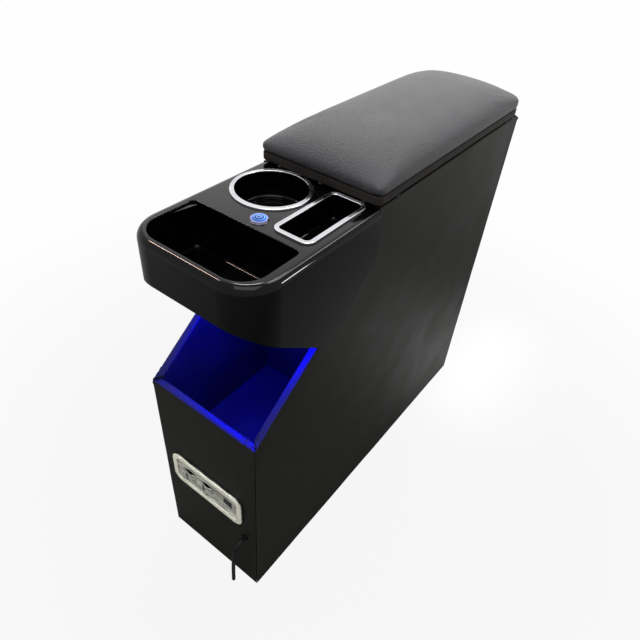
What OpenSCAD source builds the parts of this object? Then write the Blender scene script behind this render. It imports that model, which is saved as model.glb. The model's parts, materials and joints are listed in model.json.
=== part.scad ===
// Car centre armrest: a narrow covered box that stands between two seats.
// It has a low open cubby in front, a glossy head with a tray, a cup well and a slot,
// a padded lid hinged at the rear, and a charging panel in the front board.
// Millimetres. X is across, Y runs from front to rear, Z is up from the floor.
// All sizes along Y are counted from the front face of the box, and placed() centres them.

/* [Box] */
// Outside width of the box
body_w = 157; // [150:1:175]
// Depth of the box from its front face to its rear face
body_d = 551; // [520:1:600]
// Height of the side panels under the lid
body_h = 499; // [485:1:520]
// Thickness of the covered side, front, rear and inner boards
board = 10; // [8:0.5:12]
// Thickness of the base board
base_t = 12; // [9:1:16]
// Height of the low front panel
front_h = 295; // [275:1:310]
// Rise of the side panels' lips behind the front panel, in degrees
lip_angle = 38; // [34:1:42]
// Radius of the upright outer corners
corner_r = 4; // [2:0.5:6]
// Radius of the rear top corner
rear_top_r = 6; // [3:1:9]
// Height of the cubby's floor
cubby_z = 183; // [170:1:230]
// Distance from the front face of the box to the divider behind the cubby
divider_y = 187; // [187:1:200]

/* [Head] */
// How far the head stands out in front of the box
head_out = 5; // [0:1:15]
// Thickness of the moulded walls
shell_t = 2.4; // [2:0.1:3]
// Gap between the cheeks and the side panels
cheek_gap = 0.1; // [0.05:0.05:0.3]
// Radius of the head's front corners in plan
head_corner_r = 40; // [34:1:46]
// Radius of the rolled top edge
roll_r = 8; // [6:0.5:9]
// How far the deck lies below the top of the side panels
deck_drop = 1; // [0:0.5:4]
// Height of the head's front face, up to the deck
head_front_h = 48; // [44:1:60]
// Fall of the head's lower edge towards the rear, in degrees
under_angle = 36; // [32:1:40]
// Rise of the cheeks' rear edge, in degrees
cheek_angle = 46.5; // [42:0.5:52]
// How far the cheeks reach behind the lips
cheek_lap = 14; // [10:1:18]

/* [Tray] */
// Rim on each side of the tray, to the head's outside
tray_side = 13; // [12.5:0.5:20]
// Length of the front tray
tray_l = 72.5; // [60:0.5:73]
// Depth of the front tray
tray_depth = 53; // [40:1:55]
// Sideways place of the tray's middle
tray_x = -1.5; // [-2:0.5:2]
// Rim in front of the tray
tray_rim = 9.5; // [9.5:0.5:12]
// Radius of the tray's front corners
tray_front_r = 27; // [20:1:30]
// Radius of the tray's rear corners
tray_rear_r = 6; // [3:1:10]

/* [Cup well] */
// Inside diameter of the cup well
cup_d = 77.2; // [70:0.2:78]
// Depth of the cup well
cup_depth = 28; // [20:1:60]
// Gap between the cup well and the left side board
cup_side_gap = 0.9; // [0.5:0.1:2]
// Place of the cup well's middle, from the front face
cup_y = 145.5; // [143:0.5:145.5]
// Width of the chrome ring
ring_w = 5; // [4:0.25:5]
// Height of the chrome ring and the slot's bezel above the deck
trim_h = 2.4; // [1.5:0.1:2.4]
// Wall of the cup well and the slot well
liner_t = 2; // [1.5:0.1:2.2]

/* [Slot] */
// Gap between the chrome ring and the slot's bezel
trim_gap = 4.4; // [3.5:0.1:8]
// Inside length of the slot
slot_length = 90; // [70:1:90]
// Depth of the slot
slot_depth = 26; // [18:1:50]
// Gap between the slot well and the right side board
slot_side_gap = 4.5; // [3.5:0.1:6]
// Rear end of the slot's opening, from the front face
slot_rear_y = 181.5; // [178:0.5:182]
// Radius of the slot's corners
slot_r = 5; // [3:0.5:8]
// Width of the slot's bezel
bezel_w = 5; // [4:0.25:5]

/* [Power button] */
// Diameter of the button's chrome flange
switch_d = 19.5; // [18:0.5:20]
// Diameter of the button's barrel through the deck
barrel_d = 15.6; // [14.6:0.1:16]
// Diameter of the button's cap
cap_d = 13; // [11:0.1:13]
// Travel of the button
button_travel = 1.5; // [1:0.1:2]
// Distance from the cup well's middle to the button, across
switch_side = 30; // [28:0.5:31]
// Place of the button, from the front face
switch_y = 92.5; // [92:0.5:94]
// Turns of the button's return spring
spring_turns = 4; // [3:1:6]

/* [Charging panel] */
// Width of the silver panel
panel_w = 118; // [114:1:124]
// Height of the silver panel
panel_h = 54; // [52:1:60]
// Sideways place of the panel's middle
panel_x = -2; // [-5:0.5:0]
// Height of the panel's middle above the floor
panel_z = 153.5; // [145:0.5:158]
// How far the panel stands proud of the front face
panel_proud = 3; // [2:0.25:4]
// Width of the panel's rim round its sunk field
panel_rim = 8; // [6:0.5:9]
// Depth of the sunk field
field_sink = 1.4; // [0.8:0.1:1.8]
// Radius of the panel's corners
panel_r = 13; // [9:0.5:15]
// Width of each flip cover
cover_w = 19; // [17:0.5:20]
// Height of each flip cover
cover_h = 22; // [18:0.5:24]
// Distance between the two flip covers' middles
cover_pitch = 30; // [27:0.5:31]
// How far the covers' upper lips bulge
cover_bulge = 4; // [2.5:0.25:4.5]
// Wall of the flip covers
cover_t = 1.4; // [1.2:0.1:1.8]

/* [Lead] */
// Diameter of the power lead
lead_d = 5; // [5:0.5:5]
// Outside diameter of the grommet's flange
grommet_d = 13; // [11:0.5:15]

/* [Lid] */
// Gap between the box and the lid
lid_gap = 2; // [1.6:0.1:3]
// Thickness of the lid's covered board
lid_board = 11; // [9:0.5:14]
// How far the lid's front reaches over the head
lid_lap = 4.5; // [0:0.5:5]
// How far the lid's sides stand in from the box's sides
lid_inset = 0; // [0:0.25:2]
// Radius of the lid's front corners
lid_front_r = 7; // [4:0.5:12]
// Radius of the lid's rear corners
lid_rear_r = 20; // [8:0.5:24]
// Height of the pad in the middle of its crown
pad_h = 33; // [24:0.5:40]
// Height of the pad's upright edge
pad_edge = 8.5; // [5:0.5:14]
// Length over which the crown rises from the pad's front and rear edges
pad_rise = 100; // [40:5:140]
// How far the pad overhangs the lid's board
pad_over = 1; // [0:0.1:1.5]

/* [Hinge] */
// Length of the lid's hinge
hinge_l = 110; // [80:1:116]
// Radius of the hinge's barrel
barrel_r = 2.6; // [2.2:0.1:3]
// Radius of the hinge pin
pin_r = 1.2; // [1:0.1:1.4]
// Thickness of the hinge leaves
leaf_t = 1.2; // [1:0.1:1.6]
// Number of knuckles, an odd number
knuckles = 5; // [3:2:9]

/* [Hidden] */
$fn = 64;

// A small overlap that lets cuts pass right through
cut = 1;
// Clearance between fixed pieces that slide into each other
fit_gap = 0.1;
// Radial clearance of a pin or a plunger that runs in a bore
run_gap = 0.06;

// Box
half_w = body_w / 2;
inner_half = half_w - board;
divider_end = divider_y + board;
storage_end = body_d - board;

// Head: the deck, the underside and the place where the cheeks cross the lips
deck_z = body_h - deck_drop;
roll_z = deck_z - roll_r;
deck_under = deck_z - shell_t;
head_half = half_w + cheek_gap + shell_t;
head_rear = divider_y + 3;
under_front = deck_z - head_front_h;
function under_at(y) = under_front - (y + head_out) * tan(under_angle);
function lip_at(y) = front_h + y * tan(lip_angle);
cross_y = (under_at(0) - front_h) / (tan(lip_angle) + tan(under_angle));
cheek_tip_y = cross_y + cheek_lap;
cheek_corner_z = under_at(cheek_tip_y) + (head_rear - cheek_tip_y) * tan(cheek_angle);
neck_y = cross_y + cheek_lap + 6;
shoulder_z = roll_z - 1;
step_gap = 0.3;
// How far the rolled edge runs on into the deck, and the deck halfway into that
tongue = 1;

// Screws through the deck's rear strip into the divider's top edge
screw_r = 1.4;
deck_screw_x = [for (s = [-1:1]) s * (inner_half - 13)];
deck_screw_y = divider_y + board / 2 + 1;
deck_screw_l = 14;

// Tray, wells and trims
tray_front = -head_out + tray_rim;
tray_rear = tray_front + tray_l;
tray_floor = deck_z - tray_depth;
tray_w = 2 * (head_half - tray_side);
cup_r = cup_d / 2;
cup_x = -inner_half + cup_side_gap + liner_t + cup_r;
slot_w = 2 * (inner_half - liner_t) - cup_side_gap - cup_d - ring_w - trim_gap - bezel_w - slot_side_gap;
slot_x = inner_half - slot_side_gap - liner_t - slot_w / 2;
switch_x = cup_x + switch_side;
cup_floor = deck_z - cup_depth;
slot_front = slot_rear_y - slot_length;
slot_floor = deck_z - slot_depth;
flange_t = 1;
flange_w = ring_w - 1.4;

// Power button
cap_top = 3.4;
cap_len = 15;
switch_top = 2;
housing_len = 26;
base_len = 6;
nut_t = 4;
nut_af = 20;
wire_r = 0.45;
coil_r = 4;

// Light strip under the tray
strip_half = inner_half - 8.5;
chip_count = 7;
strip_w = 8;
strip_t = 0.6;

// Lead
grommet_x = half_w - 19.5;
grommet_z = 102;
grommet_proud = 2;
lead_r = lead_d / 2;
// The outer stretch runs from the grommet down to the floor; X is counted from the grommet
lead_points = [[0, -2, 102], [0, -6, 102], [0, -10, 101], [-0.2, -13.5, 99], [-0.5, -16, 96],
  [-1, -17.5, 92], [-1.6, -18.3, 86], [-2.2, -18.6, 78], [-3.2, -18.6, 66], [-4.4, -18.2, 54],
  [-5.6, -17.6, 42], [-7, -16.8, 28], [-8.4, -15.8, 14], [-9.6, -15, 0.4]];
// The inner stretch runs from the grommet's face to the terminal on the charger board;
// X is the part of the way from the one to the other
inner_way = [[0, -2, 102], [0, 8, 102], [0, 14, 102], [0.037, 20, 103], [0.148, 25, 107],
  [0.333, 26.5, 112], [0.593, 25, 117], [0.833, 22, 122.5], [0.963, 19.6, 128], [1, 19.2, 132],
  [1, 19.2, 136.5]];

// Charging panel: the cut-out in the front board and what stands behind it
plug_w = panel_w - 2 * panel_rim - 2;
plug_h = panel_h - 2 * panel_rim;
plug_depth = board + 2;
field_w = panel_w - 2 * panel_rim;
field_h = panel_h - 2 * panel_rim;
field_y = -panel_proud + field_sink;
field_t = 2.4;
covers_x = panel_x - 0.11 * panel_w;
cover_base_z = panel_z - panel_h / 4;
cover_pin_r = 0.9;
cover_gap = 0.4;
window_h = cover_h + 4;
pair_x = panel_x + 0.305 * panel_w;
pair_z = panel_z + 3;
board_y = plug_depth + 3;
board_t = 1.6;
socket_w = 13.2;
socket_h = 5.8;
// The board's terminal, into whose lower face the lead runs
terminal = [10, 5.2, 8];
terminal_x = panel_x + 0.29 * panel_w;
terminal_z = panel_z - 17;
coil = [12, 7, 12];
coil_x = panel_x - 0.34 * plug_w;
capacitor_r = 4;
capacitor_l = 9;

// Lid
lid_half = half_w - lid_inset;
lid_front = head_rear - lid_lap;
lid_z = body_h + lid_gap;
pad_z = lid_z + lid_board;
bumper_r = 4;
bumper_inset = 5;
bumper_end = 40;
// Height over which the pad's foot draws in to its seam
pad_seam = 2;

// Hinge: its axis lies level with the gap under the lid, just behind the box
barrel_gap = 0.2;
hinge_y = body_d + barrel_r + barrel_gap;
hinge_z = body_h + lid_gap / 2;
leaf_h = 28;
lid_leaf_h = lid_board - 1;
body_screw_z = hinge_z - leaf_h + 7;
lid_screw_z = lid_z + lid_leaf_h - 3.4;
hinge_screw_l = 8;
pin_head_t = 1;
hinge_screw_x = [-0.4, 0, 0.4];

// The whole reaches from the head's front face to the back of the hinge's barrel
y_front = -head_out;
y_back = hinge_y + barrel_r;
y_mid = (y_front + y_back) / 2;

module placed() {
  translate([0, -y_mid, 0]) children();
}

// Points of a corner rounded to radius r at b, between the lines from a and to c
function unit(v) = v / norm(v);
function corner_points(a, b, c, r, n = 8) =
  let (u = unit(a - b), v = unit(c - b), half = acos(u * v) / 2)
  let (back = r / tan(half), centre = b + unit(u + v) * r / sin(half))
  let (p = b + u * back - centre, q = b + v * back - centre)
  let (sweep = acos(min(1, max(-1, unit(p) * unit(q)))))
  [for (i = [0:n]) centre + (p * sin(sweep * (1 - i / n)) + q * sin(sweep * i / n)) / sin(sweep)];

// A rectangle from corner lo to corner hi with its own radius at the front and the rear
module round_rect(lo, hi, front_r, rear_r) {
  difference() {
    translate(lo) square(hi - lo);
    for (s = [0, 1]) {
      x = s == 0 ? lo[0] : hi[0];
      d = s == 0 ? 1 : -1;
      corner_cut([x, lo[1]], [d, 1], front_r);
      corner_cut([x, hi[1]], [d, -1], rear_r);
    }
  }
}

// What a rounded corner at p removes; dir points into the shape
module corner_cut(p, dir, r) {
  translate(p) scale([dir[0], dir[1]]) difference() {
    translate([-cut, -cut]) square(r + cut);
    translate([r, r]) circle(r);
  }
}

// Extrudes an outline drawn in Y and Z along X, from x0 to x1
module along_x(x0, x1) {
  translate([x0, 0, 0]) rotate([90, 0, 90]) linear_extrude(x1 - x0) children();
}

// Extrudes an outline drawn in X and Z along Y, from y0 to y1
module along_y(y0, y1) {
  translate([0, y1, 0]) rotate([90, 0, 0]) linear_extrude(y1 - y0) children();
}

module box(lo, hi) {
  translate(lo) cube(hi - lo);
}

// BOX

// Plan of the four mitred boards
module ring_plan() {
  difference() {
    round_rect([-half_w, 0], [half_w, body_d], corner_r, corner_r);
    translate([-inner_half, board]) square([2 * inner_half, body_d - 2 * board]);
  }
}

// Wedge of the plan that holds the right side board, bounded by its two mitres
module side_wedge() {
  polygon([[inner_half - cut, board + cut], [half_w + cut, -cut], [half_w + cut, body_d + cut],
    [inner_half - cut, storage_end - cut]]);
}

// Side outline: low in front, a rising lip, then a neck inside the head, then full height
module side_outline() {
  polygon(concat([[0, 0], [0, front_h], [neck_y, lip_at(neck_y)], [neck_y, shoulder_z],
    [head_rear + step_gap, shoulder_z], [head_rear + step_gap, body_h]],
    corner_points([0, body_h], [body_d, body_h], [body_d, 0], rear_top_r),
    [[body_d, 0]]));
}

module side_panel() {
  intersection() {
    linear_extrude(body_h) intersection() {
      ring_plan();
      side_wedge();
    }
    along_x(inner_half - cut, half_w + cut) side_outline();
  }
}

// A front or rear board: what the side wedges leave of the plan, on one side of the middle
module end_board(y0, y1, top) {
  linear_extrude(top) intersection() {
    difference() {
      ring_plan();
      side_wedge();
      mirror([1, 0]) side_wedge();
    }
    translate([-body_w, y0]) square([2 * body_w, y1 - y0]);
  }
}

module left_side_panel() {
  color("#24241f") placed() mirror([1, 0, 0]) side_panel();
}

module right_side_panel() {
  color("#262622") placed() side_panel();
}

module front_panel() {
  color("#2a2a26") placed() difference() {
    end_board(-cut, board + cut, front_h);
    along_y(-cut, board + cut) translate([panel_x, panel_z])
      square([plug_w + 2 * fit_gap, plug_h + 2 * fit_gap], center = true);
    translate([grommet_x, -cut, grommet_z]) rotate([-90, 0, 0])
      cylinder(r = lead_r + 2 + fit_gap, h = board + 2 * cut);
  }
}

module rear_panel() {
  color("#2a2a26") placed() difference() {
    intersection() {
      end_board(storage_end - cut, body_d + cut, body_h);
      along_x(-half_w - cut, half_w + cut) side_outline();
    }
    hinge_screw_holes(body_screw_z, body_d - hinge_screw_l);
  }
}

module base_panel() {
  color("#3a3a38") placed() box([-inner_half, board, 0], [inner_half, storage_end, base_t]);
}

module divider_panel() {
  color("#2c2c34") placed() difference() {
    box([-inner_half, divider_y, base_t], [inner_half, divider_end, deck_under]);
    for (x = deck_screw_x) translate([x, deck_screw_y, deck_under - deck_screw_l])
      cylinder(r = screw_r + fit_gap, h = deck_screw_l + cut);
  }
}

module cubby_floor() {
  color("#1c1c50") placed()
    box([-inner_half, board, cubby_z - board], [inner_half, divider_y, cubby_z]);
}

// HEAD

// Section through the head's wall, its rolled top edge and a tongue that runs on into the deck;
// the outer face lies at x = r
module wall_section(r, low) {
  translate([r - roll_r - tongue, deck_under]) square([tongue + 0.01, shell_t]);
  translate([r - shell_t, low]) square([shell_t, roll_z - low]);
  translate([r - roll_r, roll_z]) intersection() {
    difference() {
      circle(roll_r);
      circle(roll_r - shell_t);
    }
    square(roll_r + cut);
  }
}

// The wall and rolled edge, swept round the front and along both sides
module head_wall(low) {
  straight = head_half - head_corner_r;
  corner_y = head_corner_r - head_out;
  translate([0, corner_y, 0]) rotate([0, 0, -90]) along_y(-straight, straight)
    wall_section(head_corner_r, low);
  for (s = [0, 1]) mirror([s, 0, 0]) {
    translate([straight, corner_y, 0]) rotate([0, 0, -90]) rotate_extrude(angle = 90)
      wall_section(head_corner_r, low);
    along_y(corner_y, head_rear) wall_section(head_half, low);
  }
}

// Side outline of the cheeks, with their sloping lower edge and rounded rear corner
module cheek_outline() {
  front = -head_out - cut;
  polygon(concat([[front, under_at(front)], [cheek_tip_y, under_at(cheek_tip_y)]],
    corner_points([cheek_tip_y, under_at(cheek_tip_y)], [head_rear, cheek_corner_z],
      [head_rear, deck_z], 14),
    [[head_rear, deck_z + cut], [front, deck_z + cut]]));
}

module tray_plan(grow) {
  round_rect([tray_x - tray_w / 2 - grow, tray_front - grow],
    [tray_x + tray_w / 2 + grow, tray_rear + grow], tray_front_r + grow, tray_rear_r + grow);
}

module slot_plan(grow) {
  round_rect([slot_x - slot_w / 2 - grow, slot_front - grow],
    [slot_x + slot_w / 2 + grow, slot_rear_y + grow], slot_r + grow, slot_r + grow);
}

module deck_plan() {
  edge = roll_r + tongue / 2;
  round_rect([-head_half + edge, -head_out + edge], [head_half - edge, head_rear],
    head_corner_r - edge, 0.01);
  translate([-inner_half + fit_gap, head_rear - cut])
    square([2 * (inner_half - fit_gap), divider_end - head_rear + cut]);
}

module head_shell() {
  color("#111113") placed() {
    intersection() {
      head_wall(under_at(cheek_tip_y) - cut);
      along_x(-head_half - cut, head_half + cut) cheek_outline();
    }
    translate([0, 0, deck_under]) linear_extrude(shell_t) difference() {
      deck_plan();
      tray_plan(0);
      translate([cup_x, cup_y]) circle(cup_r + liner_t + fit_gap);
      slot_plan(liner_t + fit_gap);
      translate([switch_x, switch_y]) circle(barrel_d / 2 + fit_gap);
      for (x = deck_screw_x) translate([x, deck_screw_y]) circle(screw_r + fit_gap);
    }
    translate([0, 0, tray_floor - shell_t]) linear_extrude(tray_depth) difference() {
      tray_plan(shell_t);
      tray_plan(0);
    }
    translate([0, 0, tray_floor - shell_t]) linear_extrude(shell_t) tray_plan(shell_t);
    // Ribs under the deck that rest on the side panels
    for (s = [-1, 1]) translate([s * (inner_half + 3), 0, 0])
      box([-1.5, neck_y + 4, shoulder_z], [1.5, head_rear - 6, deck_under + 0.5]);
  }
}

// A turned liner: a cup with a flange that lies on the deck
module cup_well() {
  color("#0b0b0d") placed() translate([cup_x, cup_y, 0]) rotate_extrude() {
    translate([0, cup_floor - liner_t]) square([cup_r + liner_t, liner_t]);
    translate([cup_r, cup_floor - liner_t]) square([liner_t, cup_depth + liner_t]);
    translate([cup_r, deck_z]) square([flange_w, flange_t]);
  }
}

// Section of a trim ring: a crowned top over a groove that holds the flange
module trim_section(inner, width) {
  crown = 1.1;
  difference() {
    intersection() {
      translate([inner, 0]) square([width, trim_h]);
      translate([inner + width / 2, trim_h - width * crown]) circle(width * crown);
    }
    translate([inner - cut, -cut]) square([flange_w + fit_gap + cut, flange_t + fit_gap + cut]);
  }
}

module cup_ring() {
  color("#d5d6d8") placed() translate([cup_x, cup_y, deck_z]) rotate_extrude($fn = 96)
    trim_section(cup_r, ring_w);
}

module slot_well() {
  color("#0b0b0d") placed() {
    translate([0, 0, slot_floor - liner_t]) linear_extrude(liner_t) slot_plan(liner_t);
    translate([0, 0, slot_floor - liner_t]) linear_extrude(slot_depth + liner_t) difference() {
      slot_plan(liner_t);
      slot_plan(0);
    }
    translate([0, 0, deck_z]) linear_extrude(flange_t) difference() {
      slot_plan(flange_w);
      slot_plan(0);
    }
  }
}

// The slot's bezel: the trim section swept round a rounded rectangle
module slot_bezel() {
  straight_x = slot_w / 2 - slot_r;
  straight_y = slot_length / 2 - slot_r;
  color("#d5d6d8") placed() translate([slot_x, slot_rear_y - slot_length / 2, deck_z]) {
    for (s = [0, 1]) mirror([s, 0, 0]) along_y(-straight_y, straight_y)
      trim_section(slot_w / 2, bezel_w);
    for (s = [0, 1]) mirror([0, s, 0]) rotate([0, 0, 90]) along_y(-straight_x, straight_x)
      trim_section(slot_length / 2, bezel_w);
    for (sx = [0, 1], sy = [0, 1]) mirror([sx, 0, 0]) mirror([0, sy, 0])
      translate([straight_x, straight_y, 0]) rotate_extrude(angle = 90)
        trim_section(slot_r, bezel_w);
  }
}

// POWER BUTTON

module at_switch() {
  placed() translate([switch_x, switch_y, deck_z]) children();
}

// Chrome flange and barrel; the upper bore guides the cap
module switch_housing() {
  color("#c9cacc") at_switch() difference() {
    union() {
      cylinder(d1 = switch_d, d2 = switch_d - 2, h = switch_top);
      translate([0, 0, -housing_len + switch_top]) cylinder(d = barrel_d, h = housing_len - 1);
    }
    translate([0, 0, -housing_len]) cylinder(d = cap_d + 2 * run_gap, h = 2 * housing_len);
  }
}

module switch_nut() {
  color("#8f9194") at_switch() translate([0, 0, -shell_t - nut_t]) difference() {
    cylinder(d = nut_af / cos(30), h = nut_t, $fn = 6);
    translate([0, 0, -cut]) cylinder(d = barrel_d + 2 * fit_gap, h = nut_t + 2 * cut);
  }
}

// Plug that closes the barrel, with two flat terminals
module switch_base() {
  color("#202022") at_switch() translate([0, 0, -housing_len + switch_top]) {
    cylinder(d = cap_d, h = base_len);
    for (s = [-1, 1]) translate([s * 3 - 0.4, -1.4, -6]) cube([0.8, 2.8, 6.5]);
  }
}

spring_low = -housing_len + switch_top + base_len;
spring_high = cap_top - cap_len;

// Return spring: a round wire wound between the base and the cap
module switch_spring() {
  steps = spring_turns * 16;
  rise = spring_high - spring_low - 2 * wire_r;
  path = [for (i = [0:steps]) let (a = i * 22.5)
    [coil_r * cos(a), coil_r * sin(a), spring_low + wire_r + rise * i / steps]];
  color("#b9bbbd") at_switch() swept_tube(path, wire_r, 6, [0, 0, 1]);
}

// The cap that the thumb presses, with a shallow dome
module switch_cap() {
  dome_r = 24;
  color("#2f6dff") at_switch() intersection() {
    translate([0, 0, cap_top - cap_len]) cylinder(d = cap_d, h = cap_len);
    translate([0, 0, cap_top - dome_r]) sphere(dome_r, $fn = 96);
  }
}

// A flexible strip with light chips under the tray; it lights the cubby
module light_strip() {
  chip = [5, 5, 1.2];
  pitch = 2 * strip_half / chip_count;
  color("#e8ecff") placed() translate([0, tray_rear - 12, tray_floor - shell_t]) {
    box([-strip_half, -strip_w / 2, -strip_t], [strip_half, strip_w / 2, 0]);
    for (i = [0:chip_count - 1])
      translate([(i + 0.5) * pitch - strip_half - chip[0] / 2, -chip[1] / 2, -strip_t - chip[2]])
        cube(chip);
  }
}

// Screws that hold the deck down on the divider, hidden under the lid's front edge
module deck_screws() {
  color("#55565a") placed() for (x = deck_screw_x)
    translate([x, deck_screw_y, deck_z]) {
      cylinder(r1 = 2.9, r2 = 2.2, h = 1.4);
      translate([0, 0, -shell_t - deck_screw_l]) cylinder(r = screw_r, h = shell_t + deck_screw_l);
    }
}

// CHARGING PANEL

module panel_plan(w, h, r) {
  translate([panel_x, panel_z]) round_rect([-w / 2, -h / 2], [w / 2, h / 2], r, r);
}

function cover_x(i) = covers_x - cover_pitch / 2 + i * cover_pitch;

// Silver panel: a proud rim, a sunk field with three windows, and a plug through the board
module port_panel() {
  color("#b4b4a4") placed() difference() {
    union() {
      along_y(-panel_proud, 0) panel_plan(panel_w, panel_h, panel_r);
      along_y(0, plug_depth) panel_plan(plug_w, plug_h, 3);
    }
    along_y(-panel_proud - cut, field_y) panel_plan(field_w, field_h, panel_r - panel_rim);
    along_y(field_y + field_t, plug_depth + cut)
      panel_plan(plug_w - 2 * shell_t, plug_h - 2 * shell_t, 1);
    for (i = [0, 1]) along_y(-panel_proud - cut, plug_depth + cut)
      translate([cover_x(i) - cover_w / 2 - cover_gap, cover_base_z - 2])
        square([cover_w + 2 * cover_gap, window_h]);
    for (i = [0, 1]) translate([cover_x(i), field_y + field_t / 2, cover_base_z]) rotate([0, 90, 0])
      cylinder(r = cover_pin_r + run_gap, h = cover_w + 2 * cover_gap + 3.2, center = true);
    along_y(-panel_proud - cut, plug_depth) translate([pair_x, pair_z])
      square([socket_w + 0.6, 2 * socket_h + 1.4], center = true);
  }
}

// A flip cover: part of a leaning tube, so its upper lip stands out and its foot lies flush
module port_cover(i) {
  lean = atan(cover_bulge / cover_h);
  tube_r = (cover_w * cover_w / 4 + cover_bulge * cover_bulge) / (2 * cover_bulge);
  translate([cover_x(i), field_y + field_t / 2, cover_base_z]) {
    intersection() {
      translate([0, tube_r - field_t / 2 + 0.1, 0]) rotate([lean, 0, 0]) difference() {
        translate([0, 0, -cover_h]) cylinder(r = tube_r, h = 3 * cover_h, $fn = 96);
        translate([0, 0, -cover_h - cut]) cylinder(r = tube_r - cover_t, h = 4 * cover_h, $fn = 96);
      }
      box([-cover_w / 2, -3 * cover_bulge, 0.6], [cover_w / 2, field_t / 2 - 0.2, cover_h]);
    }
    box([-cover_w / 2, -field_t / 2 + 0.2, -0.6], [cover_w / 2, field_t / 2 - 0.2, 2.4]);
    rotate([0, 90, 0]) cylinder(r = cover_pin_r, h = cover_w + 2.8, center = true);
  }
}

module port_cover_left() {
  color("#a7a79a") placed() port_cover(0);
}

module port_cover_right() {
  color("#a7a79a") placed() port_cover(1);
}

// A metal socket with its tongue, open towards the front, from y0 back to the board
module usb_socket(x, z, y0) {
  shell = 0.4;
  translate([x, 0, z]) {
    difference() {
      box([-socket_w / 2, y0, -socket_h / 2], [socket_w / 2, board_y, socket_h / 2]);
      box([-socket_w / 2 + shell, y0 - cut, -socket_h / 2 + shell],
        [socket_w / 2 - shell, board_y - 2, socket_h / 2 - shell]);
    }
    box([-socket_w / 2 + 1, y0 + 1, 0.3], [socket_w / 2 - 1, board_y - 1, 1.9]);
  }
}

module usb_socket_left() {
  color("#8a8c90") placed() usb_socket(cover_x(0), cover_base_z + cover_h / 2, 3.6);
}

module usb_socket_right() {
  color("#8a8c90") placed() usb_socket(cover_x(1), cover_base_z + cover_h / 2, 3.6);
}

module usb_socket_pair() {
  color("#8a8c90") placed() for (s = [-1, 1])
    usb_socket(pair_x, pair_z + s * (socket_h / 2 + 0.2), field_y + 0.4);
}

board_screw_at = [for (sx = [-1, 1], sz = [-1, 1])
  [panel_x + sx * (plug_w / 2 - 5.5), panel_z + sz * (plug_h / 2 - 5.5)]];

module charger_board() {
  board_w = plug_w - 2 * shell_t - 1;
  board_tall = plug_h - 2 * shell_t - 1;
  color("#1d5a35") placed() {
    difference() {
      along_y(board_y, board_y + board_t) translate([panel_x, panel_z])
        square([board_w, board_tall], center = true);
      for (p = board_screw_at) translate([p[0], board_y - cut, p[1]]) rotate([-90, 0, 0])
        cylinder(r = screw_r + fit_gap, h = board_t + 2 * cut);
    }
    // A coil and a capacitor on its back, and the terminal for the lead
    translate([coil_x, board_y + board_t, panel_z - coil[2] / 2]) cube(coil);
    translate([panel_x - 2 * capacitor_r, board_y + board_t, panel_z]) rotate([-90, 0, 0])
      cylinder(r = capacitor_r, h = capacitor_l);
    translate([terminal_x - terminal[0] / 2, board_y + board_t, terminal_z]) cube(terminal);
  }
}

// Each screw stands in a sleeve that spaces the board from the panel's field
module board_screws() {
  color("#75777a") placed() for (p = board_screw_at) translate([p[0], 0, p[1]]) rotate([-90, 0, 0]) {
    translate([0, 0, field_y + field_t]) cylinder(r = 2.6, h = board_y - field_y - field_t);
    translate([0, 0, board_y - 0.5]) cylinder(r = screw_r, h = board_t + 0.5);
    translate([0, 0, board_y + board_t]) cylinder(r = 2.4, h = 1.4);
  }
}

// LEAD

// A tube of n sides along a list of points; up is any direction that the path never takes
function path_dir(p, i) = unit(p[min(i + 1, len(p) - 1)] - p[max(i - 1, 0)]);

module swept_tube(path, r, n, up) {
  last = len(path) - 1;
  rings = [for (i = [0:last]) let (t = path_dir(path, i), a = unit(cross(up, t)), b = cross(t, a))
    for (k = [0:n - 1]) path[i] + r * (cos(360 * k / n) * a + sin(360 * k / n) * b)];
  sides = [for (i = [0:last - 1], k = [0:n - 1]) let (m = (k + 1) % n)
    [i * n + k, (i + 1) * n + k, (i + 1) * n + m, i * n + m]];
  ends = [[for (k = [0:n - 1]) k], [for (k = [n - 1:-1:0]) last * n + k]];
  polyhedron(points = rings, faces = concat(sides, ends));
}

module grommet() {
  color("#161617") placed() translate([grommet_x, 0, grommet_z]) rotate([-90, 0, 0]) difference() {
    union() {
      translate([0, 0, -grommet_proud]) cylinder(d1 = grommet_d - 2, d2 = grommet_d, h = grommet_proud);
      cylinder(r = lead_r + 2, h = board + 0.5);
      translate([0, 0, board + 0.1]) cylinder(d = grommet_d, h = 1.6);
    }
    translate([0, 0, -grommet_proud - cut])
      cylinder(r = lead_r + fit_gap, h = board + grommet_proud + 4);
  }
}

module inner_lead() {
  run = terminal_x - grommet_x;
  path = [for (p = inner_way) [p[0] * run, p[1], p[2]]];
  color("#141414") placed() translate([grommet_x, 0, 0]) swept_tube(path, lead_r, 10, [1, 0, 0]);
}

module power_lead() {
  color("#141414") placed() translate([grommet_x, 0, 0]) swept_tube(lead_points, lead_r, 10, [1, 0, 0]);
}

// LID

module lid_plan(inset) {
  round_rect([-lid_half + inset, lid_front + inset], [lid_half - inset, body_d - inset],
    max(1, lid_front_r - inset), max(2, lid_rear_r - inset));
}

// Small rubber buffers on the side panels' top edges carry the closed lid
module lid_bumpers() {
  color("#202020") placed() for (s = [-1, 1], y = [lid_front + bumper_end, body_d - bumper_end])
    translate([s * (half_w - bumper_inset), y, body_h]) cylinder(r = bumper_r, h = lid_gap - 0.2);
}

module lid_board_panel() {
  color("#2b2a28") placed() difference() {
    translate([0, 0, lid_z]) linear_extrude(lid_board) lid_plan(0);
    hinge_screw_holes(lid_screw_z, body_d - hinge_screw_l);
  }
}

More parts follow.
